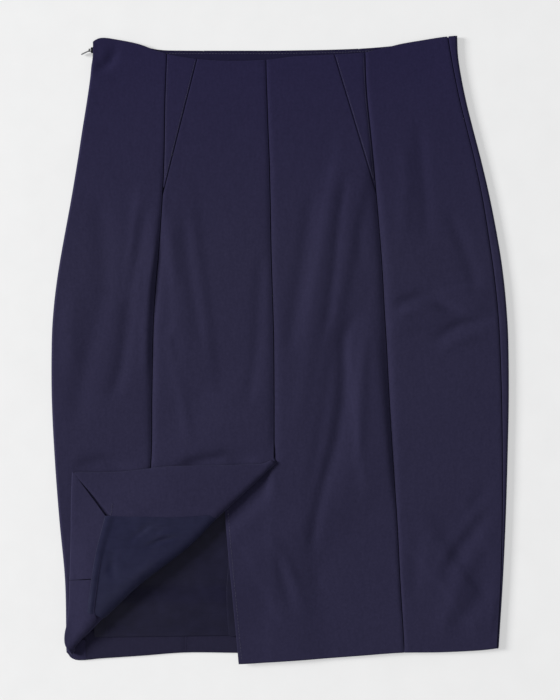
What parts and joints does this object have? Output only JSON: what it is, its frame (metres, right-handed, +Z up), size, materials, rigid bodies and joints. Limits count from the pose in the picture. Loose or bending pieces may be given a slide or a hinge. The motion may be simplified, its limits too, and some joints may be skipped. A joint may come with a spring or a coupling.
{
  "type": "pencil skirt",
  "caption": "Lined pencil skirt laid flat, back up: panelled, with narrow insets at the back waist, a back vent with one corner turned over, and a side zip with a pull tab.",
  "frame": {"origin": "centre of the bounding box in plan, on the surface the skirt lies on", "axes": "+X towards the wearer's right, as seen from behind; +Y up the skirt to its waist; +Z up from the surface, out of its back"},
  "size_m": [0.4754, 0.6536, 0.0174],
  "materials": {
    "suiting": "matt navy suiting",
    "lining": "smooth navy lining with a slight sheen",
    "zip_tape": "dark zip tape and coil",
    "zip_metal": "grey metal"
  },
  "bodies": {
    "skirt": {"back_side_left": "suiting", "back_inset_left": "suiting", "back_centre_left": "suiting", "back_centre_right": "suiting", "back_inset_right": "suiting", "back_side_right": "suiting", "front_side_left": "suiting", "front_centre": "suiting", "front_side_right": "suiting", "waist_facing_front": "suiting", "lining_front": "lining", "lining_back_left": "lining", "lining_back_right": "lining", "zip_chain": "zip_tape", "zip_slider": "zip_metal"},
    "pull_tab": {"zip_pull_tab": "zip_metal"}
  },
  "joints": [
    {"name": "pull_tab_swing", "type": "hinge", "parent": "skirt", "child": "pull_tab", "pos_m": [-0.19746, 0.31186, 0.003], "axis": [0, 0, 1], "range_deg": [-100, 58]}
  ]
}
